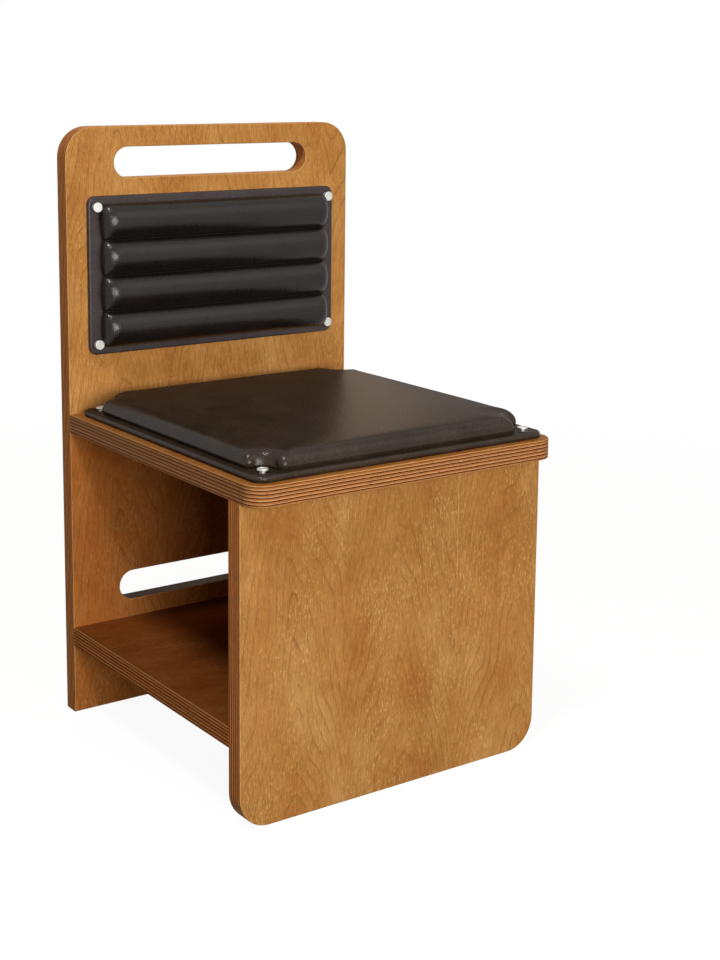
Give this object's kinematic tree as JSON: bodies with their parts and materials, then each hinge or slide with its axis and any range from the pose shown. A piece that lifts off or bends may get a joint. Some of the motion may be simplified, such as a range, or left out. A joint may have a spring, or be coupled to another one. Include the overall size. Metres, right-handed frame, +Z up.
{
  "type": "restaurant chair",
  "caption": "Plywood chair with a slotted back panel, front leg panel, low shelf, flat seat and studded leather pads on the seat and the back.",
  "frame": {"origin": "on the floor, in the middle of the footprint", "axes": "+Z up, -Y towards the front of the chair, +X to the right in a front view"},
  "size_m": [0.44, 0.471, 0.78],
  "materials": {
    "panel_wood": "clear satin stain on plywood",
    "dowel_wood": "bare beech",
    "base_ply": "bare thin plywood",
    "seat_leather": "glossy dark brown leather",
    "back_leather": "glossy near-black leather",
    "foam": "open-cell foam",
    "stud_metal": "pale satin metal",
    "insert_brass": "plain brass"
  },
  "bodies": {
    "root": {"back_panel": "panel_wood", "seat_panel": "panel_wood", "front_panel": "panel_wood", "shelf_panel": "panel_wood", "seat_back_dowels": "dowel_wood", "seat_front_dowels": "dowel_wood", "shelf_back_dowels": "dowel_wood", "shelf_front_dowels": "dowel_wood", "seat_pad_flange": "seat_leather", "seat_pad_base": "base_ply", "seat_pad_foam": "foam", "seat_pad_cover": "seat_leather", "seat_pad_eyelets": "stud_metal", "seat_studs": "stud_metal", "seat_inserts": "insert_brass", "back_pad_flange": "back_leather", "back_pad_base": "base_ply", "back_pad_foam": "foam", "back_pad_cover": "back_leather", "back_pad_eyelets": "stud_metal", "back_studs": "stud_metal", "back_inserts": "insert_brass"}
  },
  "joints": []
}
